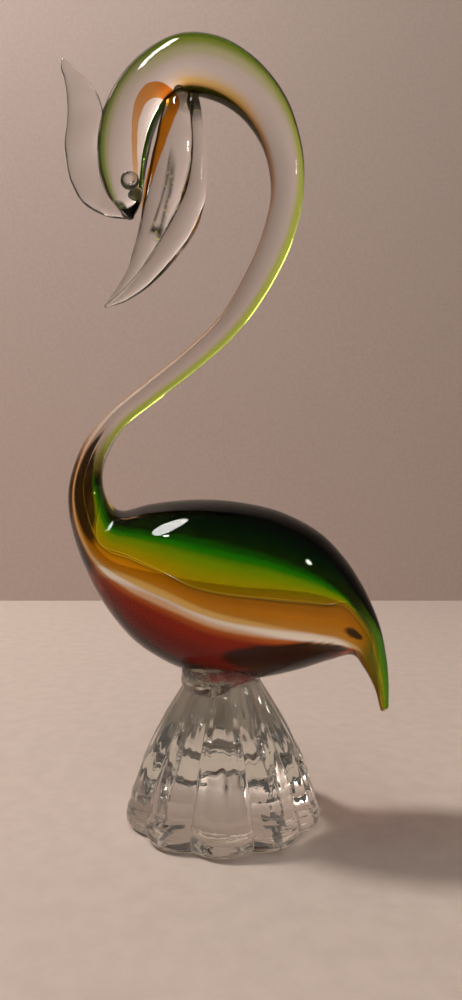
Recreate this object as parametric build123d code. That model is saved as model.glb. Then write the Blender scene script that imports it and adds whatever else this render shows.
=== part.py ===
from build123d import *

import os
from math import cos, pi, radians, sin

# A tall art-glass bird on a ribbed clear glass foot, in millimetres.
#
# The bird is one hot-worked gather of cased glass: a clear core, a green bit laid along
# its back and an amber bit along its front, all dipped in a clear casing, then drawn out
# into the tail and the long hooked neck. Separate clear bits make the crest, the bill and
# the eyes, and a wad of clear glass fuses the belly to the foot.
#
# Frame: +Z is up, the origin is the centre of the foot's ground underside, the bird faces
# -X, and its plane of symmetry is y = 0.


# ---------------------------------------------------------------- driving dimensions

FOOT_LOBES = 10  # ribs round the foot
FOOT_TOP = 64.0  # height of the foot's upper face
# (height, radius at the crown of a rib, depth of the valley beside it)
FOOT_PROFILE = [
    (0.0, 45.9, 3.6),
    (4.0, 47.9, 4.0),
    (9.0, 47.1, 4.0),
    (13.0, 45.4, 3.7),
    (28.5, 40.2, 3.2),
    (46.0, 30.8, 2.5),
    (FOOT_TOP, 19.2, 1.4),
]

COLLAR_LEAN = -1.2  # the wad sits a little towards the breast
# (height, radius) of the wad of glass between foot and belly
COLLAR_PROFILE = [(FOOT_TOP, 17.0), (66.0, 18.6), (69.5, 19.4), (76.0, 18.6)]

OVAL_POINTS = 12  # points that set out a section's outline

CASING_WALL = 0.6  # clear casing over the core, on the thinnest part
CASING_GROWTH = 0.045  # extra casing per millimetre of half height
BIT_COVER = 1.4  # clear glass between a colour bit and the core's surface

EYE_CENTRE = (-45.6, 308.6)  # x and z
EYE_RADIUS = 4.5
EYE_BULGE = 2.7  # half thickness of an eye bit
EYE_SINK = 8.3  # distance of its middle plane from y = 0

# Stations along the gather, from the tail's tip to the end of the head. Each gives a
# point on the back (x, z), the point facing it on the front, and the half depth.
STATIONS = [
    # tail
    ((81.7, 53.2), (77.6, 51.2), 2.2),
    ((81.7, 64.0), (74.9, 61.2), 3.7),
    ((80.3, 78.5), (69.3, 71.8), 5.6),
    ((76.6, 94.5), (63.6, 78.2), 9.0),
    # body
    ((67.5, 114.5), (52.5, 76.0), 15.5),
    ((52.5, 134.2), (36.5, 71.2), 23.5),
    ((32.0, 147.2), (15.5, 67.3), 30.0),
    ((8.0, 153.4), (-7.0, 68.4), 32.0),
    ((-15.0, 154.6), (-29.0, 76.2), 30.0),
    ((-35.5, 152.4), (-47.5, 90.0), 25.0),
    # root of the neck
    ((-49.5, 149.2), (-63.0, 112.0), 17.6),
    ((-55.8, 153.6), (-72.8, 136.5), 12.0),
    ((-59.0, 163.0), (-75.7, 157.2), 8.8),
    ((-57.2, 174.8), (-69.8, 179.0), 6.8),
    # the S of the neck
    ((-49.4, 188.6), (-58.2, 194.6), 5.5),
    ((-31.0, 204.0), (-37.2, 212.5), 5.4),
    ((-13.0, 217.8), (-19.6, 226.6), 5.6),
    ((5.6, 234.4), (-3.0, 242.4), 6.1),
    ((23.4, 258.6), (11.0, 264.8), 7.0),
    ((34.2, 281.0), (19.3, 284.6), 7.8),
    ((39.4, 304.0), (23.3, 304.0), 8.4),
    ((38.2, 328.0), (20.4, 323.2), 9.0),
    # hook
    ((30.6, 350.0), (13.6, 335.6), 9.7),
    ((17.0, 367.0), (5.6, 343.8), 10.2),
    ((-2.0, 378.4), (-5.4, 349.6), 10.5),
    ((-22.0, 379.4), (-17.0, 351.6), 10.5),
    ((-41.0, 368.8), (-26.4, 347.6), 10.3),
    ((-55.0, 350.8), (-32.6, 335.4), 10.0),
    # head
    ((-60.8, 331.0), (-36.2, 321.4), 9.7),
    ((-59.8, 313.2), (-38.4, 308.8), 9.0),
    ((-54.9, 300.6), (-40.2, 298.8), 7.2),
    ((-51.4, 296.2), (-42.0, 294.8), 5.4),
    ((-47.8, 291.9), (-44.2, 291.5), 2.2),
]

# How far each colour bit runs, as station numbers, and how thick it is there, as a share
# of the distance from back to front. Between these the thickness runs straight.
GREEN_RUN = {3: 0.06, 4: 0.17, 8: 0.15, 12: 0.20, 14: 0.22, 20: 0.17, 28: 0.17, 29: 0.05}
AMBER_RUN = {3: 0.04, 5: 0.26, 9: 0.34, 12: 0.26, 15: 0.14, 20: 0.07, 24: 0.09, 25: 0.04}
GREEN_SPREAD = 74.0  # degrees to each side of the back's ridge line
AMBER_SPREAD = 78.0  # degrees to each side of the front's

# The crest is a leaf of clear glass standing up from the back of the head: its outline
# as x and z, first the edge inside the head, then the free edge back up to the point.
CREST_POINT = (-77.6, 368.4)
CREST_INNER = [(-72.6, 363.2), (-65.0, 355.6), (-58.0, 350.5), (-54.0, 342.0),
               (-53.5, 324.0), (-52.0, 308.0)]
CREST_FOOT = (-48.5, 298.0)
CREST_OUTER = [(-52.0, 291.8), (-57.0, 292.4), (-63.5, 295.8), (-69.6, 300.8),
               (-74.0, 308.2), (-76.9, 321.0), (-76.8, 333.0), (-75.6, 345.0),
               (-76.4, 357.0), (-78.6, 365.0)]
CREST_HALF = 2.8  # half its thickness
CREST_ROUND = 1.6  # rounding along its edges

# The two lobes of the bill, from the top down, as stations like those of the gather:
# the side towards the head, the side facing it, and the half depth.
UPPER_BILL = [
    ((-24.6, 354.2), (-18.4, 354.4), 2.4),
    ((-27.0, 350.2), (-15.6, 350.4), 4.2),
    ((-31.4, 338.0), (-13.6, 336.0), 6.2),
    ((-35.0, 322.0), (-13.4, 320.6), 7.0),
    ((-38.0, 306.0), (-17.0, 303.4), 7.0),
    ((-40.2, 293.0), (-23.6, 290.0), 6.4),
    ((-42.4, 281.0), (-31.0, 277.4), 5.2),
    ((-45.8, 269.0), (-39.2, 265.4), 3.8),
    ((-51.4, 258.4), (-48.2, 255.8), 2.4),
    ((-57.8, 249.8), (-56.6, 248.8), 0.9),
]
LOWER_BILL = [
    ((-15.4, 353.4), (-12.6, 353.6), 1.4),
    ((-17.6, 349.6), (-11.6, 350.0), 2.8),
    ((-15.6, 336.4), (-9.2, 336.0), 4.2),
    ((-15.4, 320.6), (-7.9, 320.0), 5.0),
    ((-18.6, 304.0), (-8.6, 300.6), 5.4),
    ((-25.4, 291.6), (-13.4, 285.4), 5.2),
    ((-33.0, 278.8), (-24.6, 270.0), 4.4),
    ((-41.0, 266.8), (-36.6, 258.0), 3.2),
    ((-49.0, 257.2), (-47.4, 251.4), 2.0),
    ((-57.4, 249.6), (-57.0, 248.2), 0.8),
]

# Amber drop at the throat, inside the head: where the front bit was gathered up.
THROAT = [
    ((-32.0, 354.4), (-29.2, 351.8), 1.6),
    ((-37.6, 351.0), (-31.0, 345.6), 3.6),
    ((-41.6, 343.2), (-34.4, 338.8), 4.6),
    ((-43.2, 332.0), (-37.0, 329.2), 4.6),
    ((-43.2, 319.0), (-38.9, 318.0), 3.4),
    ((-42.9, 308.6), (-41.2, 308.2), 1.9),
    ((-42.8, 303.6), (-42.0, 303.4), 0.8),
]


# ---------------------------------------------------------------- sections


def middle(station):
    """The centre of a station's section, as x and z."""
    (x1, z1), (x2, z2), _ = station
    return (x1 + x2) / 2, (z1 + z2) / 2


def section_plane(station):
    """A plane across the glass: its x axis points at the back, its y axis along +Y."""
    (x1, z1), (x2, z2), _ = station
    x, z = middle(station)
    return Plane(
        origin=(x, 0, z), x_dir=(x1 - x2, 0, z1 - z2), z_dir=(z1 - z2, 0, x2 - x1)
    )


def half_height(station):
    (x1, z1), (x2, z2), _ = station
    return ((x1 - x2) ** 2 + (z1 - z2) ** 2) ** 0.5 / 2


def wall(station):
    """Thickness of the clear casing at a station."""
    return CASING_WALL + CASING_GROWTH * half_height(station)


def oval(station, inset=0.0):
    """The section's closed outline, drawn in by inset."""
    plane = section_plane(station)
    a = half_height(station) - inset
    b = station[2] - inset
    turns = [2 * pi * k / OVAL_POINTS for k in range(OVAL_POINTS)]
    points = [plane.from_local_coords(Vector(a * cos(t), b * sin(t), 0)) for t in turns]
    return Wire([Spline(*points, periodic=True).edge()])


def drawn_out(stations):
    """A smooth solid through the stations, ground flat at its two small ends."""
    return Solid.make_loft([oval(s) for s in stations])


def run_value(run, number):
    """The value of a run at a station, straight between the stations it names."""
    stops = sorted(run)
    for low, high in zip(stops, stops[1:]):
        if low <= number <= high:
            share = (number - low) / (high - low)
            return run[low] + (run[high] - run[low]) * share
    raise ValueError(f"station {number} is outside this run")


def crescent(number, side, spread, thickness):
    """The section of a colour bit that hugs one side of the core at a station.

    side is 1 for the back and -1 for the front, spread the angle it covers each way,
    and thickness the depth of the bit at its middle as a share of the full height.
    """
    station = STATIONS[number]
    inset = wall(station) + BIT_COVER
    a = half_height(station) - inset
    b = station[2] - inset
    plane = section_plane(station)

    def place(u, v):
        return plane.from_local_coords(Vector(side * u, side * v, 0))

    end = radians(spread)
    outer = [place(a * cos(t * end), b * sin(t * end)) for t in (-1, -0.55, 0, 0.55, 1)]
    crown = a - thickness * 2 * half_height(station)
    edge_u, edge_v = a * cos(end), b * sin(end)
    inner = [
        place(edge_u + (crown - edge_u) * (1 - t * t), edge_v * t)
        for t in (1, 0.5, 0, -0.5, -1)
    ]
    return Wire([Spline(*outer).edge(), Spline(*inner).edge()])


def colour_bit(run, side, spread):
    """A bit of coloured glass from the first station of its run to the last."""
    numbers = range(min(run), max(run) + 1)
    wires = [crescent(n, side, spread, run_value(run, n)) for n in numbers]
    return Solid.make_loft(wires)


# ---------------------------------------------------------------- the bird


def core_gather():
    """The clear glass inside the casing, before the colour bits are laid into it.

    It stops short of the tail's tip and the head's end, which are casing right through.
    """
    return Solid.make_loft([oval(s, wall(s)) for s in STATIONS[2:-1]])


def crest_leaf():
    def edge(points):
        return Spline(*[(x, 0, z) for x, z in points]).edge()

    outline = make_face([edge([CREST_POINT, *CREST_INNER, CREST_FOOT]),
                         edge([CREST_FOOT, *CREST_OUTER, CREST_POINT])])
    leaf = extrude(outline, CREST_HALF, both=True)
    faces_out = [e for e in leaf.edges() if abs(e.center().Y) > CREST_HALF - 0.01]
    return fillet(faces_out, CREST_ROUND)


def eye():
    """A round bit of glass pressed onto the left side of the head."""
    x, z = EYE_CENTRE
    profile = Plane.XY * (
        Ellipse(EYE_RADIUS, EYE_BULGE)
        - Pos(-EYE_RADIUS, 0) * Rectangle(2 * EYE_RADIUS, 4 * EYE_BULGE)
    )
    bead = revolve(profile, Axis.Y)
    return Pos(x, EYE_SINK, z) * bead


# ---------------------------------------------------------------- foot and wad


def ribbed_outline(height, crown, valley):
    """A closed outline of round ribs with a valley between each pair."""
    step = 2 * pi / FOOT_LOBES
    first = -pi / 2 - step / 2
    arcs = []
    for k in range(FOOT_LOBES):
        start, mid, end = (first + step * (k + share) for share in (0, 0.5, 1))
        low = crown - valley
        arcs.append(
            ThreePointArc(
                (low * cos(start), low * sin(start), height),
                (crown * cos(mid), crown * sin(mid), height),
                (low * cos(end), low * sin(end), height),
            ).edge()
        )
    return Wire(arcs)


def foot():
    return Solid.make_loft([ribbed_outline(*level) for level in FOOT_PROFILE])


def wad():
    levels = [Pos(COLLAR_LEAN, 0, z) * Circle(r) for z, r in COLLAR_PROFILE]
    return loft(levels)


# ---------------------------------------------------------------- assembly


def largest_solid(shape):
    return max(shape.solids(), key=lambda s: s.volume)


def build():
    outer = drawn_out(STATIONS)
    core = core_gather()
    green = colour_bit(GREEN_RUN, 1, GREEN_SPREAD)
    amber = colour_bit(AMBER_RUN, -1, AMBER_SPREAD)
    throat = drawn_out(THROAT)
    left_eye = largest_solid(eye() - outer)
    upper_bill = drawn_out(UPPER_BILL) - outer
    lower_bill = drawn_out(LOWER_BILL) - outer - upper_bill

    return {
        "ribbed_foot": foot(),
        "joining_wad": wad() - outer,
        "clear_casing": outer - core,
        "clear_core": core - green - amber - throat,
        "green_back_bit": green,
        "amber_breast_bit": amber,
        "amber_throat_drop": throat,
        "crest": crest_leaf() - outer,
        "upper_bill": upper_bill,
        "lower_bill": lower_bill,
        "eye_left": left_eye,
        "eye_right": left_eye.mirror(Plane.XZ),
    }


def main():
    os.makedirs("parts", exist_ok=True)
    for name, shape in build().items():
        print(name, [round(s.volume, 1) for s in shape.solids()], flush=True)
        export_step(largest_solid(shape), f"parts/{name}.step")


main()
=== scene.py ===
"""Looks for the cased glass bird on its ribbed foot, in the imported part's frame.

The forms are drawn in millimetres; new_piece turns them into metres.
"""

from math import asin, cos, pi, radians, sin, sqrt

import bmesh
import bpy
from mathutils import Matrix, Vector, noise


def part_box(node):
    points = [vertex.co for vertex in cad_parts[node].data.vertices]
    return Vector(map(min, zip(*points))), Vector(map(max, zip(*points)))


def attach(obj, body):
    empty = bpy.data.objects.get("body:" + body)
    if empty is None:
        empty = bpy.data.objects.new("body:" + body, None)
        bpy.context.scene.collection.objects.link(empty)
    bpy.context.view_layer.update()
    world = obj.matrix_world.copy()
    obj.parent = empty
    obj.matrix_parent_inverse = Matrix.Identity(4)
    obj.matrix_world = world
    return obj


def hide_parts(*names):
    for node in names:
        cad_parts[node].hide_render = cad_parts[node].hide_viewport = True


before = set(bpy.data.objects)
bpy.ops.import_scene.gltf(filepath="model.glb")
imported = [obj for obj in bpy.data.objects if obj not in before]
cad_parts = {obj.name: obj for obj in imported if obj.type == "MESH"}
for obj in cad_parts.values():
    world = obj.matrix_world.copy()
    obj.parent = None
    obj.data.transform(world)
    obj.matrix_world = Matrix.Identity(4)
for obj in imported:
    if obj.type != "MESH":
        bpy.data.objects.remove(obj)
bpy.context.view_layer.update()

MM = 0.001
scene = bpy.context.scene
scene.cycles.max_bounces = 40
scene.cycles.transmission_bounces = 40
scene.cycles.glossy_bounces = 8
scene.cycles.transparent_max_bounces = 40
scene.cycles.diffuse_bounces = 4
scene.cycles.caustics_refractive = True
scene.cycles.blur_glossy = 0.4
scene.view_settings.view_transform = "Standard"

# ---------------------------------------------------------------- the gather's stations
# The same stations as the part's own source, in millimetres: a point on the back (x, z),
# the point facing it on the front, and the half depth, from the tail's tip to the head.
STATIONS = [
    ((81.7, 53.2), (77.6, 51.2), 2.2),
    ((81.7, 64.0), (74.9, 61.2), 3.7),
    ((80.3, 78.5), (69.3, 71.8), 5.6),
    ((76.6, 94.5), (63.6, 78.2), 9.0),
    ((67.5, 114.5), (52.5, 76.0), 15.5),
    ((52.5, 134.2), (36.5, 71.2), 23.5),
    ((32.0, 147.2), (15.5, 67.3), 30.0),
    ((8.0, 153.4), (-7.0, 68.4), 32.0),
    ((-15.0, 154.6), (-29.0, 76.2), 30.0),
    ((-35.5, 152.4), (-47.5, 90.0), 25.0),
    ((-49.5, 149.2), (-63.0, 112.0), 17.6),
    ((-55.8, 153.6), (-72.8, 136.5), 12.0),
    ((-59.0, 163.0), (-75.7, 157.2), 8.8),
    ((-57.2, 174.8), (-69.8, 179.0), 6.8),
    ((-49.4, 188.6), (-58.2, 194.6), 5.5),
    ((-31.0, 204.0), (-37.2, 212.5), 5.4),
    ((-13.0, 217.8), (-19.6, 226.6), 5.6),
    ((5.6, 234.4), (-3.0, 242.4), 6.1),
    ((23.4, 258.6), (11.0, 264.8), 7.0),
    ((34.2, 281.0), (19.3, 284.6), 7.8),
    ((39.4, 304.0), (23.3, 304.0), 8.4),
    ((38.2, 328.0), (20.4, 323.2), 9.0),
    ((30.6, 350.0), (13.6, 335.6), 9.7),
    ((17.0, 367.0), (5.6, 343.8), 10.2),
    ((-2.0, 378.4), (-5.4, 349.6), 10.5),
    ((-22.0, 379.4), (-17.0, 351.6), 10.5),
    ((-41.0, 368.8), (-26.4, 347.6), 10.3),
    ((-55.0, 350.8), (-32.6, 335.4), 10.0),
    ((-60.8, 331.0), (-36.2, 321.4), 9.7),
    ((-59.8, 313.2), (-38.4, 308.8), 9.0),
    ((-54.9, 300.6), (-40.2, 298.8), 7.2),
    ((-51.4, 296.2), (-42.0, 294.8), 5.4),
    ((-47.8, 291.9), (-44.2, 291.5), 2.2),
]
TAIL_START = -0.05  # station where the colours begin, just past the tail's first
HEAD_END = 31.5  # station where the casing's rounded end begins
GREEN_END = 31.3
AMBER_END = 26.4

CREST = [
    ((-77.0, 368.0), (-78.0, 367.6), 0.7),
    ((-74.6, 366.4), (-78.4, 364.6), 1.1),
    ((-69.4, 361.8), (-77.2, 360.0), 1.6),
    ((-62.4, 354.4), (-75.9, 351.2), 2.1),
    ((-57.6, 342.0), (-76.0, 338.6), 2.5),
    ((-59.6, 324.0), (-76.9, 324.6), 2.6),
    ((-58.6, 311.0), (-73.6, 308.4), 2.4),
    ((-55.4, 302.6), (-66.4, 297.6), 2.2),
    ((-50.6, 298.0), (-56.6, 292.6), 1.8),
    ((-46.4, 293.6), (-48.4, 291.4), 1.0),
]
UPPER_BILL = [
    ((-24.6, 354.2), (-18.4, 354.4), 2.4),
    ((-27.0, 350.2), (-15.6, 350.4), 4.2),
    ((-30.8, 338.0), (-13.6, 336.0), 6.2),
    ((-34.4, 322.0), (-13.4, 320.6), 7.0),
    ((-37.4, 306.0), (-17.0, 303.4), 7.0),
    ((-39.8, 293.0), (-23.6, 290.0), 6.4),
    ((-42.4, 281.0), (-31.0, 277.4), 5.2),
    ((-45.8, 269.0), (-39.2, 265.4), 3.8),
    ((-51.4, 258.4), (-48.2, 255.8), 2.4),
    ((-57.8, 249.8), (-56.6, 248.8), 0.9),
]
LOWER_BILL = [
    ((-15.4, 353.4), (-12.6, 353.6), 1.4),
    ((-17.6, 349.6), (-11.6, 350.0), 2.8),
    ((-15.6, 336.4), (-9.2, 336.0), 4.2),
    ((-15.4, 320.6), (-7.9, 320.0), 5.0),
    ((-18.6, 304.0), (-8.6, 300.6), 5.4),
    ((-25.4, 291.6), (-13.4, 285.4), 5.2),
    ((-33.0, 278.8), (-24.6, 270.0), 4.4),
    ((-41.0, 266.8), (-36.6, 258.0), 3.2),
    ((-49.0, 257.2), (-47.4, 251.4), 2.0),
    ((-57.4, 249.6), (-57.0, 248.2), 0.8),
]
# The amber gathered at the throat: up the head as a thin limb, over, and down the bill.
THROAT = [
    ((-42.6, 297.0), (-41.6, 297.0), 0.8),
    ((-43.8, 304.0), (-42.4, 304.0), 1.6),
    ((-44.6, 315.0), (-43.2, 315.0), 2.4),
    ((-44.8, 328.0), (-43.2, 327.6), 3.0),
    ((-43.8, 340.0), (-41.8, 339.2), 3.4),
    ((-41.0, 349.4), (-38.6, 346.8), 3.8),
    ((-35.6, 355.4), (-34.6, 350.4), 4.2),
    ((-29.6, 356.0), (-30.0, 350.6), 4.6),
    ((-24.4, 353.4), (-27.6, 348.6), 4.6),
    ((-21.2, 347.8), (-25.6, 345.6), 4.6),
    ((-23.2, 339.0), (-28.4, 338.0), 4.4),
    ((-26.8, 327.6), (-32.4, 326.4), 4.2),
    ((-31.0, 315.2), (-36.6, 313.6), 3.6),
    ((-35.0, 302.6), (-38.9, 301.6), 2.6),
    ((-38.2, 293.6), (-39.6, 293.2), 1.2),
]


def smooth(a, b, x):
    """0 below a, 1 above b, eased between."""
    t = min(1.0, max(0.0, (x - a) / (b - a)))
    return t * t * (3 - 2 * t)


def stops(pairs, x):
    """A value eased between (place, value) pairs."""
    if x <= pairs[0][0]:
        return pairs[0][1]
    for (x0, v0), (x1, v1) in zip(pairs, pairs[1:]):
        if x <= x1:
            return v0 + (v1 - v0) * smooth(x0, x1, x)
    return pairs[-1][1]


def profile(pairs, x):
    """A value drawn smoothly through (place, value) pairs, without a flat at each."""
    n = len(pairs)
    i = max(0, min(n - 2, sum(1 for p in pairs[1:-1] if x >= p[0])))
    xs, vs = [p[0] for p in pairs], [p[1] for p in pairs]

    def slope(k):
        a, b = max(0, k - 1), min(n - 1, k + 1)
        return (vs[b] - vs[a]) / (xs[b] - xs[a])

    span = xs[i + 1] - xs[i]
    t = min(1.0, max(0.0, (x - xs[i]) / span))
    return ((1 + 2 * t) * (1 - t) ** 2 * vs[i] + t * (1 - t) ** 2 * span * slope(i)
            + t * t * (3 - 2 * t) * vs[i + 1] + t * t * (t - 1) * span * slope(i + 1))


class Gather:
    """A drawn-out form through stations, as smooth curves of the station number."""

    def __init__(self, stations):
        self.rows = [(b[0], b[1], f[0], f[1], d) for b, f, d in stations]
        mids = [((r[0] + r[2]) / 2, (r[1] + r[3]) / 2) for r in self.rows]
        self.knots = [0.0]
        for (x0, z0), (x1, z1) in zip(mids, mids[1:]):
            self.knots.append(self.knots[-1] + sqrt((x1 - x0) ** 2 + (z1 - z0) ** 2))
        self.slopes = [self._slope(i) for i in range(len(self.rows))]

    def _slope(self, i):
        r, k, n = self.rows, self.knots, len(self.rows)
        if i == 0:
            return [(b - a) / (k[1] - k[0]) for a, b in zip(r[0], r[1])]
        if i == n - 1:
            return [(b - a) / (k[i] - k[i - 1]) for a, b in zip(r[i - 1], r[i])]
        before, after = k[i] - k[i - 1], k[i + 1] - k[i]
        out = []
        for a, b, c in zip(r[i - 1], r[i], r[i + 1]):
            s0, s1 = (b - a) / before, (c - b) / after
            out.append((s0 * after + s1 * before) / (before + after))
        return out

    def at(self, s):
        """Middle, unit direction from front to back, half height and half depth at s."""
        i = min(int(s), len(self.rows) - 2)
        t = s - i
        span = self.knots[i + 1] - self.knots[i]
        h00, h10 = (1 + 2 * t) * (1 - t) ** 2, t * (1 - t) ** 2
        h01, h11 = t * t * (3 - 2 * t), t * t * (t - 1)
        xb, zb, xf, zf, d = (
            h00 * a + h10 * span * m + h01 * b + h11 * span * n
            for a, b, m, n in zip(
                self.rows[i], self.rows[i + 1], self.slopes[i], self.slopes[i + 1]
            )
        )
        mid = Vector(((xb + xf) / 2, 0, (zb + zf) / 2))
        across = Vector((xb - xf, 0, zb - zf))
        return mid, across.normalized(), across.length / 2, d

    def steps(self, gap):
        """Station numbers spaced about gap millimetres apart along the form."""
        out = []
        for i in range(len(self.rows) - 1):
            n = max(2, round((self.knots[i + 1] - self.knots[i]) / gap))
            out += [i + k / n for k in range(n)]
        return out + [float(len(self.rows) - 1)]


bird = Gather(STATIONS)


def wall(half):
    """The clear casing's thickness where the form's half height is half."""
    return 0.6 + 0.045 * half


def new_piece(name, bm, materials, replaced=()):
    """Turns a bmesh in millimetres into a smooth-shaded piece that rides on the root."""
    bmesh.ops.recalc_face_normals(bm, faces=bm.faces)
    mesh = bpy.data.meshes.new(name)
    bm.to_mesh(mesh)
    bm.free()
    for v in mesh.vertices:
        v.co *= MM
    for p in mesh.polygons:
        p.use_smooth = True
    for m in materials:
        mesh.materials.append(m)
    piece = bpy.data.objects.new(name, mesh)
    scene.collection.objects.link(piece)
    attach(piece, "root")
    if replaced:
        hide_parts(*replaced)
    return piece


def skin(bm, rings, face_material=None):
    """Joins rings of points into quads, with a fan at each end. face_material(k) picks the
    material of the quads at place k round a ring."""
    rows = [[bm.verts.new(p) for p in ring] for ring in rings]
    n = len(rows[0])
    for lower, upper in zip(rows, rows[1:]):
        for k in range(n):
            f = bm.faces.new((lower[k], lower[(k + 1) % n], upper[(k + 1) % n], upper[k]))
            if face_material:
                f.material_index = face_material(k)
    for row in (rows[0], rows[-1]):
        middle = bm.verts.new(sum((v.co for v in row), Vector()) / n)
        for k in range(n):
            f = bm.faces.new((row[k], middle, row[(k + 1) % n]))
            if face_material:
                f.material_index = 1
    return rows


# How far along a rounded end each of its rings stands, as a share of the end's length,
# and that length as a share of the form's half height there.
END_RINGS = (0.25, 0.5, 0.7, 0.87, 0.97)
END_LENGTH = 0.75


def rounded_rings(form, gap, around, wobble=None, end=None):
    """Rings along a form up to station end, with both ends rounded off."""
    end = len(form.rows) - 1 if end is None else end

    def ring(mid, across, a, b):
        out = []
        for k in range(around):
            t = 2 * pi * k / around
            p = mid + across * (a * cos(t)) + Vector((0, b * sin(t), 0))
            if wobble:
                p += (across * cos(t) + Vector((0, sin(t), 0))) * wobble(p)
            out.append(p)
        return out

    def rounded(s, inside):
        """The rings that round off the end at station s, seen from station inside."""
        mid, across, a, b = form.at(s)
        outward = (mid - form.at(inside)[0]).normalized()
        out = []
        for q in END_RINGS:
            f = sqrt(1 - q * q)
            out.append(ring(mid + outward * (a * END_LENGTH * q), across, a * f, b * f))
        return out

    along = [ring(*form.at(s)) for s in form.steps(gap) if s <= end]
    return rounded(0.0, 0.05)[::-1] + along + rounded(end, end - 0.05)


# ---------------------------------------------------------------- materials


def material(name):
    """A new material with one principled shader, its nodes, links and shader."""
    m = bpy.data.materials.new(name)
    m.use_nodes = True
    nodes = m.node_tree.nodes
    nodes.clear()
    out = nodes.new("ShaderNodeOutputMaterial")
    shader = nodes.new("ShaderNodeBsdfPrincipled")
    m.node_tree.links.new(shader.outputs[0], out.inputs[0])
    return m, nodes, m.node_tree.links, shader


def noise_node(nodes, links, scale, detail=3.0, stretch=(1, 1, 1)):
    coords = nodes.new("ShaderNodeTexCoord")
    mapping = nodes.new("ShaderNodeMapping")
    mapping.inputs["Scale"].default_value = stretch
    tex = nodes.new("ShaderNodeTexNoise")
    tex.inputs["Scale"].default_value = scale
    tex.inputs["Detail"].default_value = detail
    links.new(coords.outputs["Object"], mapping.inputs[0])
    links.new(mapping.outputs[0], tex.inputs["Vector"])
    return tex


def ramp_node(nodes, colours):
    """A colour ramp through (place, (r, g, b)) stops, the colours as linear light."""
    ramp = nodes.new("ShaderNodeValToRGB")
    ramp.color_ramp.interpolation = "EASE"
    els = ramp.color_ramp.elements
    while len(els) > 1:
        els.remove(els[-1])
    els[0].position, els[0].color = colours[0][0], (*colours[0][1], 1)
    for place, colour in colours[1:]:
        e = els.new(place)
        e.color = (*colour, 1)
    return ramp


def attribute(nodes, name):
    """A number painted on the mesh's points."""
    node = nodes.new("ShaderNodeAttribute")
    node.attribute_name = name
    return node.outputs["Fac"]


def mixed(nodes, links, share, first, second):
    """first turning into second as share goes from 0 to 1."""
    mix = nodes.new("ShaderNodeMix")
    mix.data_type = "RGBA"
    links.new(share, mix.inputs[0])
    links.new(first, mix.inputs[6])
    if isinstance(second, tuple):
        mix.inputs[7].default_value = (*second, 1)
    else:
        links.new(second, mix.inputs[7])
    return mix.outputs[2]


def clear_glass(name, tint_low, tint_high, scale, bump=0.0, bump_scale=60, ior=1.5,
                stretch=(1, 1, 1), rough=0.0, gloss=1.0):
    """Clear glass, its tint drifting between two colours. gloss is how much of a glass
    surface's reflection it keeps where it is seen square on."""
    m, nodes, links, shader = material(name)
    shader.inputs["Specular Tint"].default_value = (gloss, gloss, gloss, 1)
    shader.inputs["Transmission Weight"].default_value = 1.0
    shader.inputs["IOR"].default_value = ior
    shader.inputs["Roughness"].default_value = rough
    tex = noise_node(nodes, links, scale)
    ramp = ramp_node(nodes, [(0.35, tint_low), (0.65, tint_high)])
    links.new(tex.outputs["Fac"], ramp.inputs[0])
    links.new(ramp.outputs[0], shader.inputs["Base Color"])
    if bump:
        wave = noise_node(nodes, links, bump_scale, 2.0, stretch)
        b = nodes.new("ShaderNodeBump")
        b.inputs["Strength"].default_value = bump
        b.inputs["Distance"].default_value = 0.001
        links.new(wave.outputs["Fac"], b.inputs["Height"])
        links.new(b.outputs[0], shader.inputs["Normal"])
    return m


def srgb(r, g, b):
    """Linear colour from everyday 0 to 255 values."""
    return tuple((c / 255 / 12.92) if c <= 10 else ((c / 255 + 0.055) / 1.055) ** 2.4
                 for c in (r, g, b))


WHITE = (1.0, 1.0, 1.0)
BLACK = (0, 0, 0)
# The colour that painted shade turns the bits to: near black.
SHADE_BLACK = (0.006, 0.005, 0.004)
STREAK = 0.05  # how far the colours wander across the form, as a share of its span
# How bright the pale line's painted glow is.
GLOW_STRENGTH = 0.12


def stained(name, body, neck, tail, hook, glow=None):
    """Coloured glass index-matched to what surrounds it. The four lists are its colours
    across the form (place, colour) in the body, the neck, the tail and the hook; glow is
    a like list of a painted glow along the body's pale line, light that the glass gives
    off though it is no lamp. Where the painted shade attribute is high it turns near black."""
    m, nodes, links, shader = material(name)
    shader.inputs["Transmission Weight"].default_value = 1.0
    shader.inputs["IOR"].default_value = 1.0
    shader.inputs["Roughness"].default_value = 0.0
    shader.inputs["Specular IOR Level"].default_value = 0.0
    streak = noise_node(nodes, links, 26.0, 4.0, (0.35, 1, 1.6))
    shift = nodes.new("ShaderNodeMath")
    shift.operation = "MULTIPLY_ADD"
    links.new(streak.outputs["Fac"], shift.inputs[0])
    shift.inputs[1].default_value = STREAK
    shift.inputs[2].default_value = -STREAK / 2
    add = nodes.new("ShaderNodeMath")
    add.operation = "ADD"
    links.new(attribute(nodes, "place"), add.inputs[0])
    links.new(shift.outputs[0], add.inputs[1])

    def blend(name, first, second):
        return mixed(nodes, links, attribute(nodes, name), first, second)

    def across(colours):
        ramp = ramp_node(nodes, colours)
        links.new(add.outputs[0], ramp.inputs[0])
        return ramp.outputs[0]

    last = across(body)
    last = blend("neckness", last, across(neck))
    last = blend("hookness", last, across(hook))
    last = blend("tailness", last, across(tail))
    last = blend("fade", last, WHITE)
    # Painted shade: the colour turns near black where the painted shade attribute is high.
    last = blend("painted_shade", last, SHADE_BLACK)
    links.new(last, shader.inputs["Base Color"])
    # The pale line's painted glow: the glass gives off light there though it is no lamp.
    if glow:
        painted_glow = blend("neckness", across(glow), BLACK)
        painted_glow = blend("tailness", painted_glow, BLACK)
        painted_glow = blend("painted_shade", painted_glow, BLACK)
        links.new(painted_glow, shader.inputs["Emission Color"])
        shader.inputs["Emission Strength"].default_value = GLOW_STRENGTH
    return m


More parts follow.
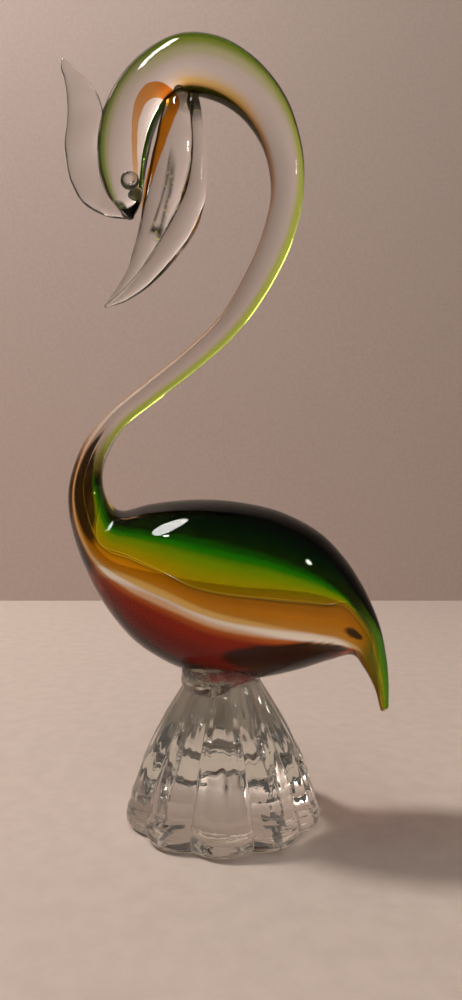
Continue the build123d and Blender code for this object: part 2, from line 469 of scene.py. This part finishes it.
casing_glass = clear_glass("casing_glass", (0.97, 0.97, 0.96), (1, 1, 1), 30.0, gloss=0.4)
bit_glass = clear_glass("bit_glass", (0.95, 0.95, 0.94), (1, 1, 1), 60.0, 0.05, 90)
foot_glass = clear_glass("foot_glass", (0.88, 0.92, 0.85), (0.97, 0.98, 0.94), 45.0, 0.25,
                         70, 1.5, (1, 1, 0.35))
wad_glass = clear_glass("wad_glass", (0.86, 0.90, 0.80), (0.97, 0.98, 0.92), 120.0, 0.8, 260,
                        rough=0.12)
inner_clear = clear_glass("inner_clear", (0.97, 0.97, 0.96), (1, 1, 1), 30.0, ior=1.0)

# Across the green from the amber (0) to the back (1). The brown stop at 0.945, next to the clear
# edge at the back, is a painted shade line where the casing's rim bends the light.
GREEN_BODY = [
    (0.0, srgb(196, 168, 2)), (0.14, srgb(166, 172, 2)), (0.32, srgb(96, 164, 2)),
    (0.44, srgb(6, 116, 3)), (0.53, srgb(2, 50, 2)), (0.61, srgb(2, 6, 3)),
    (0.90, srgb(4, 4, 3)), (0.945, srgb(130, 110, 90)), (0.97, WHITE), (1.0, WHITE),
]
GREEN_NECK = [
    (0.0, WHITE), (0.30, WHITE), (0.50, srgb(226, 244, 160)), (0.68, srgb(180, 222, 60)),
    (1.0, srgb(130, 184, 24)),
]
GREEN_HOOK = [
    (0.0, WHITE), (0.30, srgb(252, 252, 246)), (0.5, srgb(214, 236, 160)),
    (0.70, srgb(140, 192, 50)), (1.0, srgb(70, 128, 6)),
]
GREEN_TAIL = [
    (0.0, srgb(206, 190, 20)), (0.35, srgb(90, 160, 10)), (0.7, srgb(40, 120, 8)),
    (1.0, srgb(30, 90, 8)),
]
AMBER_BODY = [
    (0.0, srgb(170, 44, 60)), (0.08, srgb(104, 20, 14)), (0.22, srgb(132, 22, 5)),
    (0.38, srgb(176, 48, 8)), (0.445, srgb(236, 136, 50)), (0.475, WHITE),
    (0.545, WHITE), (0.60, srgb(246, 184, 70)), (0.75, srgb(243, 168, 22)),
    (0.92, srgb(214, 150, 8)), (0.97, srgb(160, 124, 4)), (1.0, srgb(130, 110, 4)),
]
AMBER_NECK = [
    (0.0, srgb(200, 100, 40)), (0.08, srgb(226, 136, 64)), (0.18, srgb(250, 212, 164)),
    (0.30, WHITE), (1.0, WHITE),
]
AMBER_HOOK = [
    (0.0, srgb(110, 40, 8)), (0.03, srgb(190, 84, 14)), (0.10, srgb(252, 158, 36)),
    (0.26, srgb(255, 196, 78)), (0.50, srgb(255, 238, 200)), (0.72, WHITE),
]
AMBER_TAIL = [
    (0.0, srgb(216, 120, 20)), (0.5, srgb(190, 150, 20)), (1.0, srgb(120, 150, 10)),
]
# The painted glow along the amber's pale line, across the form.
PALE_GLOW = [
    (0.0, BLACK), (0.45, BLACK), (0.485, (1.0, 0.84, 0.58)), (0.53, (0.9, 0.72, 0.42)),
    (0.60, (0.05, 0.03, 0.0)), (1.0, BLACK),
]
green_glass = stained("green_glass", GREEN_BODY, GREEN_NECK, GREEN_TAIL, GREEN_HOOK)
amber_glass = stained("amber_glass", AMBER_BODY, AMBER_NECK, AMBER_TAIL, AMBER_HOOK,
                      PALE_GLOW)


# ---------------------------------------------------------------- casing
bm = bmesh.new()
skin(bm, rounded_rings(bird, 2.2, 96, end=HEAD_END))
new_piece("glass_casing", bm, [casing_glass], ("clear_casing", "clear_core"))

# ---------------------------------------------------------------- the colour bits


def neckness(s):
    """1 up the neck, 0 in the body."""
    return smooth(12.2, 14.2, s)


def tailness(s):
    """1 in the tail, 0 in the body."""
    return 1 - smooth(2.2, 4.0, s)


def hookness(s):
    """1 round the hook, 0 below it."""
    return smooth(20.5, 23.0, s)


# Where the two colours meet, as how far up the section from front (-1) to back (1), and
# where the pale line between the amber's thin and thick parts runs, by station.
MEETING = [(0.0, -0.2), (2.0, 0.0), (4.2, 0.30), (5.0, 0.15), (6.0, 0.08), (7.5, 0.06),
           (8.3, 0.15), (9.2, 0.20), (10.2, 0.08), (11.2, 0.10), (12.5, 0.10), (14.0, 0.3),
           (32.0, 0.3)]
PALE_LINE = [(0.0, -0.75), (2.6, -0.7), (4.0, -0.50), (5.3, -0.40), (6.2, -0.35),
             (7.2, -0.30), (8.1, -0.22), (9.0, -0.20), (9.8, -0.30), (10.5, -0.48),
             (11.2, -0.62), (12.0, -0.60), (14.0, -0.6), (32.0, -0.6)]
# The lower edge of the near-black band along the back.
BAND = [(0.0, 0.9), (3.0, 0.55), (3.6, 0.45), (4.8, 0.50), (5.7, 0.55), (6.5, 0.60),
        (7.5, 0.65), (8.7, 0.70), (9.7, 0.75), (10.6, 0.86), (11.4, 0.98), (32.0, 0.98)]
FAR_DROP = 0.17  # how much lower the colours meet on the bird's left, the far side
BIT_AROUND = 64  # faces across a bit's outer side
BIT_CLEARANCE = 0.15  # gap between the casing's inside and the bits, in millimetres
BIT_EDGE = 0.2  # a bit's thickness at its edges
BIT_TAPER = 0.5  # stations over which a bit thickens from each end


def meeting(s, left):
    """How far up the section the two colours meet."""
    return profile(MEETING, s) - (FAR_DROP * smooth(3.0, 5.0, s) * (1 - smooth(10, 12, s))
                                  if left else 0.0)


def painted_shade_patch(s, h, at, long, high, soft):
    """Painted shade: 1 inside an oval patch of the section map, 0 outside it."""
    q = sqrt(((s - at[0]) / long) ** 2 + ((h - at[1]) / high) ** 2)
    return 1 - smooth(1 - soft, 1 + soft, q)


def crescent_bit(name, side, first, last, spread, depth, place_of, painted_shade_of, glass, replaced):
    """A coloured bit under the casing: side 1 hugs the back, -1 the front.

    spread(s, left) is the angle it covers each way from its own ridge line and depth(s)
    its thickness there in millimetres.
    """
    bm = bmesh.new()
    names = ("place", "neckness", "hookness", "tailness", "painted_shade", "fade")
    layers = {k: bm.verts.layers.float.new(k) for k in names}
    rings, marks = [], []
    for s in [first] + [s for s in bird.steps(1.6) if first < s < last] + [last]:
        mid, across, a, b = bird.at(s)
        cover = wall(a) + BIT_CLEARANCE
        ends = {left: spread(s, left) for left in (False, True)}
        taper = sqrt(max(0.0, min(1.0, (s - first) / BIT_TAPER, (last - s) / BIT_TAPER)))
        ring, mark = [], []
        outward = range(BIT_AROUND + 1)
        for back, ks in ((False, outward), (True, reversed(outward))):
            for k in ks:
                share = 2 * k / BIT_AROUND - 1
                t = share * ends[share > 0]
                inset = cover
                if back:
                    inset += BIT_EDGE + depth(s) * taper * (1 - share * share)
                u, v = max(0.2, a - inset) * cos(t), max(0.2, b - inset) * sin(t)
                ring.append(mid + across * (side * u) + Vector((0, v, 0)))
                mark.append((side * cos(t), share > 0))
        rings.append(ring)
        marks.append((s, mark))
    rows = skin(bm, rings, face_material=lambda k: 0 if k < BIT_AROUND else 1)
    for row, (s, mark) in zip(rows, marks):
        for v, (h, left) in zip(row, mark):
            v[layers["place"]] = place_of(s, h, left)
            v[layers["neckness"]] = neckness(s)
            v[layers["hookness"]] = hookness(s)
            v[layers["tailness"]] = tailness(s)
            # How much painted shade the point carries.
            v[layers["painted_shade"]] = painted_shade_of(s, h, left)
            far = 0.75 * smooth(25.5, 27.0, s) if left else 0.0
            v[layers["fade"]] = max(far, smooth(last - 1.5, last - 0.1, s))
    return new_piece(name, bm, [glass, inner_clear], replaced)


def green_spread(s, left):
    """The angle from the back down to where the colours meet."""
    return pi / 2 - asin(meeting(s, left))


def amber_spread(s, left):
    """The angle from the front up to where the colours meet."""
    low = pi / 2 + asin(meeting(s, left) - 0.01)
    return low + (1.5 - low) * smooth(12.5, 14.0, s)


def green_place(s, h, left):
    """Where a point falls in the green's colours: 0 at the amber, 1 at the back."""
    low, band = meeting(s, left), profile(BAND, s)
    if h < band:
        body = 0.64 * (h - low) / (band - low)
    else:
        body = 0.64 + 0.36 * (h - band) / max(0.02, 1 - band)
    along = smooth(11.6, 13.0, s)
    return body + ((h - 0.1) / 0.9 - body) * along


def amber_place(s, h, left):
    """Where a point falls in the amber's colours: 0 at the front, 1 at the green."""
    low, high = profile(PALE_LINE, s), meeting(s, left)
    if h > low:
        body = 0.5 + 0.5 * (h - low) / (high - low)
    else:
        body = 0.5 - 0.5 * (low - h) / (1 + low)
    return body + (min(1.0, (1 + h) / 0.8) - body) * neckness(s)


def green_painted_shade(s, h, left):
    """Painted shade at the root of the neck, where the band turns up into the bird's right side.
    """
    return 0.0 if left else painted_shade_patch(s, h, (11.9, 0.10), 1.3, 0.52, 0.10)


def amber_painted_shade(s, h, left):
    """Near black on the bird's right side: partly the amber's own depth of colour, partly painted
    shade where the glass bends the dark room into view.
    """
    if left:
        return 0.0
    pale = profile(PALE_LINE, s)
    # Patches of painted shade: down the throat, under the belly, over the breast below the pale
    # line, and a spot.
    throat = painted_shade_patch(s, h, (12.0, -0.02), 1.7, 0.50, 0.10)
    under = painted_shade_patch(s, h, (5.2, -0.67), 1.65, 0.20, 0.07)
    breast = smooth(9.3, 10.6, s) * (1 - smooth(pale - 0.16, pale - 0.06, h))
    spot = painted_shade_patch(s, h, (3.70, -0.13), 0.42, 0.13, 0.10)
    return max(throat, under, breast * (1 - smooth(12.6, 13.6, s)), spot)


crescent_bit("green_bit", 1, TAIL_START, GREEN_END, green_spread,
             lambda s: stops([(0, 0.6), (5, 8.0), (9, 6.0), (12, 2.0), (32, 1.6)], s),
             green_place, green_painted_shade, green_glass, ("green_back_bit",))
crescent_bit("amber_bit", -1, TAIL_START, AMBER_END, amber_spread,
             lambda s: stops([(0, 0.4), (5, 10.0), (9, 10.0), (12, 4.0), (15, 1.0), (32, 1.0)], s),
             amber_place, amber_painted_shade, amber_glass, ("amber_breast_bit",))

# ---------------------------------------------------------------- head pieces


def glass_with_painted_shade(name, ior, shade_low, shade_glint, along=None):
    """Clear glass with painted shade along its edges and seams, mottled from near black to
    painted glints by the painted shade attribute, and which may carry its
    own colours from end to end, by the attribute place."""
    m, nodes, links, shader = material(name)
    shader.inputs["Transmission Weight"].default_value = 1.0
    shader.inputs["IOR"].default_value = ior
    shader.inputs["Roughness"].default_value = 0.0
    tex = noise_node(nodes, links, 60.0)
    base = ramp_node(nodes, [(0.35, (0.95, 0.95, 0.94)), (0.65, WHITE)])
    links.new(tex.outputs["Fac"], base.inputs[0])
    if along:
        own = ramp_node(nodes, along)
        links.new(attribute(nodes, "place"), own.inputs[0])
        tint = nodes.new("ShaderNodeMix")
        tint.data_type = "RGBA"
        tint.blend_type = "MULTIPLY"
        tint.inputs[0].default_value = 1.0
        links.new(base.outputs[0], tint.inputs[6])
        links.new(own.outputs[0], tint.inputs[7])
        colour = tint.outputs[2]
    else:
        colour = base.outputs[0]
    # Painted shade, mottled from near black to painted glints, laid on where the painted shade
    # attribute is high.
    speck = noise_node(nodes, links, 420.0, 2.0)
    shade_ramp = ramp_node(nodes, [(0.40, shade_low), (0.56, shade_low), (0.66, shade_glint)])
    links.new(speck.outputs["Fac"], shade_ramp.inputs[0])
    shaded = mixed(nodes, links, attribute(nodes, "painted_shade"), colour, shade_ramp.outputs[0])
    links.new(shaded, shader.inputs["Base Color"])
    return m


def drawn_bit(name, stations, glass, replaced, around=36, gap=1.2, wobble=None,
              painted_shade_of=None):
    """A drawn-out bit of glass through its own stations, with painted shade along its edges and
    seams.
    """
    form = Gather(stations)
    count = len(form.rows) - 1
    bm = bmesh.new()
    place = bm.verts.layers.float.new("place")
    painted_shade = bm.verts.layers.float.new("painted_shade")
    rows = skin(bm, rounded_rings(form, gap, around, wobble=wobble))
    ends = len(END_RINGS)
    numbers = [0.0] * ends + form.steps(gap) + [float(count)] * ends
    for row, s in zip(rows, numbers):
        for k, v in enumerate(row):
            v[place] = s / count
            v[painted_shade] = painted_shade_of(s, cos(2 * pi * k / around)) if painted_shade_of else 0.0
    return new_piece(name, bm, [glass], replaced)


def ripple(size, amount):
    """An uneven surface: swells about size across, amount high, in millimetres."""
    def wobble(p):
        return amount * noise.noise(Vector((p.x, p.y, p.z)) / size)

    return wobble


def line(value, at, half):
    """1 on a line of the section map, falling to 0 half either side of it."""
    return min(1.0, max(0.0, 1.5 - 1.5 * abs(value - at) / half))


def upper_shade_lines(s, h):
    """Painted shade lines at the upper bill's root, along its edges and round the long lens inside
    it.
    """
    right = line(h, -0.90, 0.16) * smooth(0.8, 1.4, s) * (1 - smooth(5.2, 6.4, s))
    left = line(h, 0.22 - 0.05 * s, 0.10) * smooth(2.6, 3.4, s) * (1 - smooth(5.4, 6.0, s))
    foot = line(s, 5.55, 0.22) * smooth(-1.1, -0.6, h) * (1 - smooth(-0.1, 0.2, h))
    edge = line(h, 0.93, 0.12) * smooth(5.0, 6.0, s) * 0.8
    top = (1 - smooth(1.0, 1.9, s)) * 0.75
    return max(right, left, foot, edge, top)


def lower_shade_lines(s, h):
    """Painted shade at the lower bill's root and along its inner edge."""
    top = 1 - smooth(1.2, 2.2, s)
    return max(top * 0.95, line(h, 0.95, 0.14) * (1 - smooth(4.0, 6.0, s)) * 0.7)


# The painted shade's colours on the head's glass: an olive black, mottled with painted glints.
SHADE_OLIVE_BLACK = (0.010, 0.014, 0.006)
bill_glass = glass_with_painted_shade("bill_glass", 1.5, SHADE_OLIVE_BLACK, srgb(190, 196, 60))
eye_glass = glass_with_painted_shade("eye_glass", 1.5, (0.02, 0.035, 0.012), srgb(110, 130, 60))
throat_glass = glass_with_painted_shade("throat_glass", 1.0, SHADE_OLIVE_BLACK, srgb(120, 60, 10), [
    (0.0, srgb(250, 226, 190)), (0.25, srgb(238, 190, 130)), (0.42, srgb(236, 168, 90)),
    (0.52, srgb(224, 132, 40)), (0.62, srgb(240, 154, 26)), (0.85, srgb(246, 160, 34)),
    (1.0, srgb(250, 196, 90)),
])
drawn_bit("crest_leaf", CREST, bit_glass, ("crest",), wobble=ripple(14, 0.5))
drawn_bit("upper_bill_lobe", UPPER_BILL, bill_glass, ("upper_bill",),
          around=72, gap=1.0, wobble=ripple(9, 0.35), painted_shade_of=upper_shade_lines)
drawn_bit("lower_bill_lobe", LOWER_BILL, bill_glass, ("lower_bill",),
          around=72, gap=1.0, wobble=ripple(9, 0.3), painted_shade_of=lower_shade_lines)
drawn_bit("throat_drop", THROAT, throat_glass, ("amber_throat_drop",),
          wobble=ripple(5, 0.25))


# A bead's rings from its dished middle over the rim to its root: the radius, the distance
# from the bird's middle plane, and how much painted shade.
EYE = [(0.2, 10.1, 0.0), (1.0, 10.1, 0.0), (1.8, 10.3, 0.1), (2.5, 10.9, 0.5),
       (3.1, 11.3, 0.9), (3.7, 11.2, 1.0), (4.2, 10.6, 1.0), (4.5, 9.6, 0.9),
       (4.4, 8.6, 0.6), (3.9, 7.6, 0.3)]
EYE_SHIFT = Vector((1.6, 0, -2.6))  # from the middle of the solid it stands for
EYE_AROUND = 48


def eye(name, side, replaced):
    """A round bead pressed on, its rim thick and its middle dished, with painted shade round the
    rim.
    """
    low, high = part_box(replaced)
    centre = (low + high) / 2 / MM + EYE_SHIFT
    bm = bmesh.new()
    painted_shade = bm.verts.layers.float.new("painted_shade")
    rings, shades = [], []
    for r, y, shade in EYE:
        rings.append([Vector((centre.x + r * cos(t) * 0.98, side * y,
                              centre.z + r * sin(t) * (1 + 0.04 * cos(2 * t))))
                      for t in (2 * pi * k / EYE_AROUND for k in range(EYE_AROUND))])
        shades.append(shade)
    # The painted shade round the rim is heavier on one side than on the other.
    for row, shade in zip(skin(bm, rings), shades):
        for k, v in enumerate(row):
            v[painted_shade] = min(1.0, shade * (0.9 + 0.3 * cos(2 * pi * k / EYE_AROUND + 2.4)))
    return new_piece(name, bm, [eye_glass], (replaced,))


eye("eye_bead_left", 1, "eye_left")
eye("eye_bead_right", -1, "eye_right")

# ---------------------------------------------------------------- foot and wad

# (height, radius at a rib's crown, depth of the valley beside it)
FOOT = [(0.0, 45.0, 3.6), (0.8, 46.2, 3.8), (4.0, 47.9, 4.0), (9.0, 47.1, 4.1),
        (13.0, 45.2, 4.0), (16.0, 44.6, 4.2), (20.0, 43.4, 4.4), (28.5, 40.0, 4.4),
        (38.0, 35.4, 4.2), (46.0, 30.8, 3.8), (55.0, 25.2, 3.2), (62.0, 20.8, 2.6),
        (67.0, 18.2, 2.0)]
FOOT_TOP = FOOT[-1][0]
FOOT_RIBS = 10
RIB_POINTS = 48  # points round each rib
RIB_SHARPNESS = 1.9  # above 1 the ribs are round and the valleys between them narrow


def foot_heights():
    """Heights of the foot's rings, closer together round the lip."""
    steps = [0.0, 0.25, 0.5, 0.8] + [0.8 + 0.45 * k for k in range(1, 32)]
    steps += [steps[-1] + 0.95 * k for k in range(1, 56)]
    return [z for z in steps if z <= FOOT_TOP]


def foot_piece():
    """The ribbed bell: smooth round its lip, its ribs lightly drawn upwards above it."""
    bm = bmesh.new()
    rings = []
    around = FOOT_RIBS * RIB_POINTS
    for z in foot_heights():
        crown = profile([(h, r) for h, r, _ in FOOT], z)
        valley = profile([(h, v) for h, _, v in FOOT], z)
        lip = 1 - smooth(9.0, 14.0, z)
        ring = []
        for k in range(around):
            f = (k / RIB_POINTS) % 1.0
            t = -pi / 2 - pi / FOOT_RIBS + 2 * pi * k / around
            r = crown - valley * abs(2 * f - 1) ** RIB_SHARPNESS
            x, y = cos(t), sin(t)
            r += 0.26 * lip * noise.noise(Vector((x * 2.6, y * 2.6, z * 1.7 + x)))
            r += 0.42 * (1 - lip) * noise.noise(Vector((x * 12, y * 12, z * 0.05)))
            r += 0.35 * noise.noise(Vector((x * 3, y * 3, z * 0.10)))
            ring.append(Vector((r * x, r * y, z)))
        rings.append(ring)
    skin(bm, rings)
    return new_piece("ribbed_glass_foot", bm, [foot_glass], ("ribbed_foot",))


foot_piece()


WAD_LOW = 66.0
WAD_TOP = 77.0
WAD_HANG = 5.2  # how far it hangs below that at the bird's right front
WAD_RADIUS = 18.7
WAD_BULGE = 1.5
WAD_RINGS = 40
WAD_AROUND = 128


def wad_piece():
    """The lumpy wad under the belly, hanging lowest at the bird's right front."""
    bm = bmesh.new()
    rings = []
    for k in range(WAD_RINGS + 1):
        q = k / WAD_RINGS
        round_off = sqrt(max(0.0, 1 - (2 * q - 1) ** 6))
        ring = []
        for j in range(WAD_AROUND):
            t = 2 * pi * j / WAD_AROUND
            x, y = cos(t), sin(t)
            front = max(0.0, -0.55 * x - 0.84 * y)
            low = WAD_LOW - WAD_HANG * smooth(0.45, 0.95, front)
            z = low + (WAD_TOP - low) * q
            lump = noise.noise(Vector((x * 1.7, y * 1.7, z * 0.16)))
            fine = noise.noise(Vector((x * 5, y * 5, z * 0.5)))
            r = WAD_RADIUS + WAD_BULGE * smooth(0.4, 0.9, front) + 0.9 * lump + 0.35 * fine
            r *= 0.25 + 0.75 * round_off
            ring.append(Vector((-1.0 + r * x, r * y, z)))
        rings.append(ring)
    skin(bm, rings)
    return new_piece("joining_glass_wad", bm, [wad_glass], ("joining_wad",))


wad_piece().visible_shadow = False

# ---------------------------------------------------------------- stage, lights, camera


def plaster(name, low, high, scale):
    """A matt surface, its colour drifting a little between two."""
    m, nodes, links, shader = material(name)
    shader.inputs["Roughness"].default_value = 0.75
    tex = noise_node(nodes, links, scale, 6.0)
    ramp = ramp_node(nodes, [(0.3, low), (0.7, high)])
    links.new(tex.outputs["Fac"], ramp.inputs[0])
    links.new(ramp.outputs[0], shader.inputs["Base Color"])
    return m


def plane(name, corners, look):
    """A flat stage piece through four corners."""
    mesh = bpy.data.meshes.new(name)
    mesh.from_pydata(corners, [], [(0, 1, 2, 3)])
    mesh.materials.append(look)
    o = bpy.data.objects.new(name, mesh)
    scene.collection.objects.link(o)


floor_look = plaster("floor_look", srgb(186, 170, 160), srgb(192, 176, 166), 90)
wall_look = plaster("wall_look", srgb(206, 185, 175), srgb(212, 191, 181), 240)
HALF_STAGE = 3
STAGE_FRONT = -2
FLOOR_Z = -0.0003  # just under the foot, so that the two never share a plane
WALL_Y = 0.666
WALL_FOOT = -0.2
WALL_TOP = 2.6
plane("floor", [(-HALF_STAGE, STAGE_FRONT, FLOOR_Z), (HALF_STAGE, STAGE_FRONT, FLOOR_Z),
                (HALF_STAGE, WALL_Y + MM, FLOOR_Z), (-HALF_STAGE, WALL_Y + MM, FLOOR_Z)],
      floor_look)
plane("backdrop", [(-HALF_STAGE, WALL_Y, WALL_FOOT), (HALF_STAGE, WALL_Y, WALL_FOOT),
                   (HALF_STAGE, WALL_Y, WALL_TOP), (-HALF_STAGE, WALL_Y, WALL_TOP)],
      wall_look)


def lamp(name, where, target, size, power, colour=(1, 1, 1), size_y=None, along=(1, 0, 0),
         seen=False, through=False):
    """An oval lamp facing target, its longer side laid along the direction given. A seen
    lamp shows as a reflection and lights nothing matt; a through lamp also shines through
    the glass."""
    data = bpy.data.lights.new(name, "AREA")
    data.shape = "ELLIPSE"
    data.size = size
    data.size_y = size_y or size
    data.energy = power
    data.color = colour
    o = bpy.data.objects.new(name, data)
    z = (Vector(where) - Vector(target)).normalized()
    x = (Vector(along) - z * z.dot(Vector(along))).normalized()
    o.matrix_world = Matrix.Translation(where) @ Matrix((x, z.cross(x), z)).transposed().to_4x4()
    o.visible_glossy = seen
    o.visible_diffuse = not seen
    o.visible_transmission = through
    scene.collection.objects.link(o)


lamp("key", (-1.62, 0.56, 1.98), (0, 0, 0.1), 0.42, 66.0, (1, 0.96, 0.90), through=True)
lamp("leaf", (-0.47, -0.49, 1.62), (0, 0, 0.12), 0.86, 16.0, (1, 0.98, 0.95), size_y=0.22,
     along=(0.41, 0.76, 0.38), seen=True)
lamp("right", (1.22, -0.70, 0.90), (0, 0, 0.15), 0.15, 2.6, (1, 0.96, 0.90), size_y=0.10,
     along=(0, 0, 1), seen=True)
lamp("dot", (-0.53, -0.86, 1.40), (0, 0, 0.12), 0.07, 1.3, (1, 0.97, 0.93), seen=True)
lamp("fill", (-0.2, -1.1, 2.2), (0, 0.2, 0.1), 1.8, 11.0, (1, 0.95, 0.91))
lamp("wall_wash", (-0.62, 0.05, 1.45), (-0.45, 0.67, 0.95), 0.6, 5.2, (1, 0.98, 0.96))

world = bpy.data.worlds.new("room")
world.use_nodes = True
background = world.node_tree.nodes["Background"]
background.inputs["Color"].default_value = (0.86, 0.78, 0.72, 1)
background.inputs["Strength"].default_value = 0.09
scene.world = world

CAMERA_DOWN = 1.0  # degrees below level
cam_data = bpy.data.cameras.new("camera")
cam_data.lens = 25.9
cam_data.sensor_width = 36
cam_data.clip_start = 10 * MM
cam = bpy.data.objects.new("camera", cam_data)
cam.location = (0.004, -0.353, 0.1605)
cam.rotation_euler = (radians(90 - CAMERA_DOWN), 0, 0)
scene.collection.objects.link(cam)
scene.camera = cam
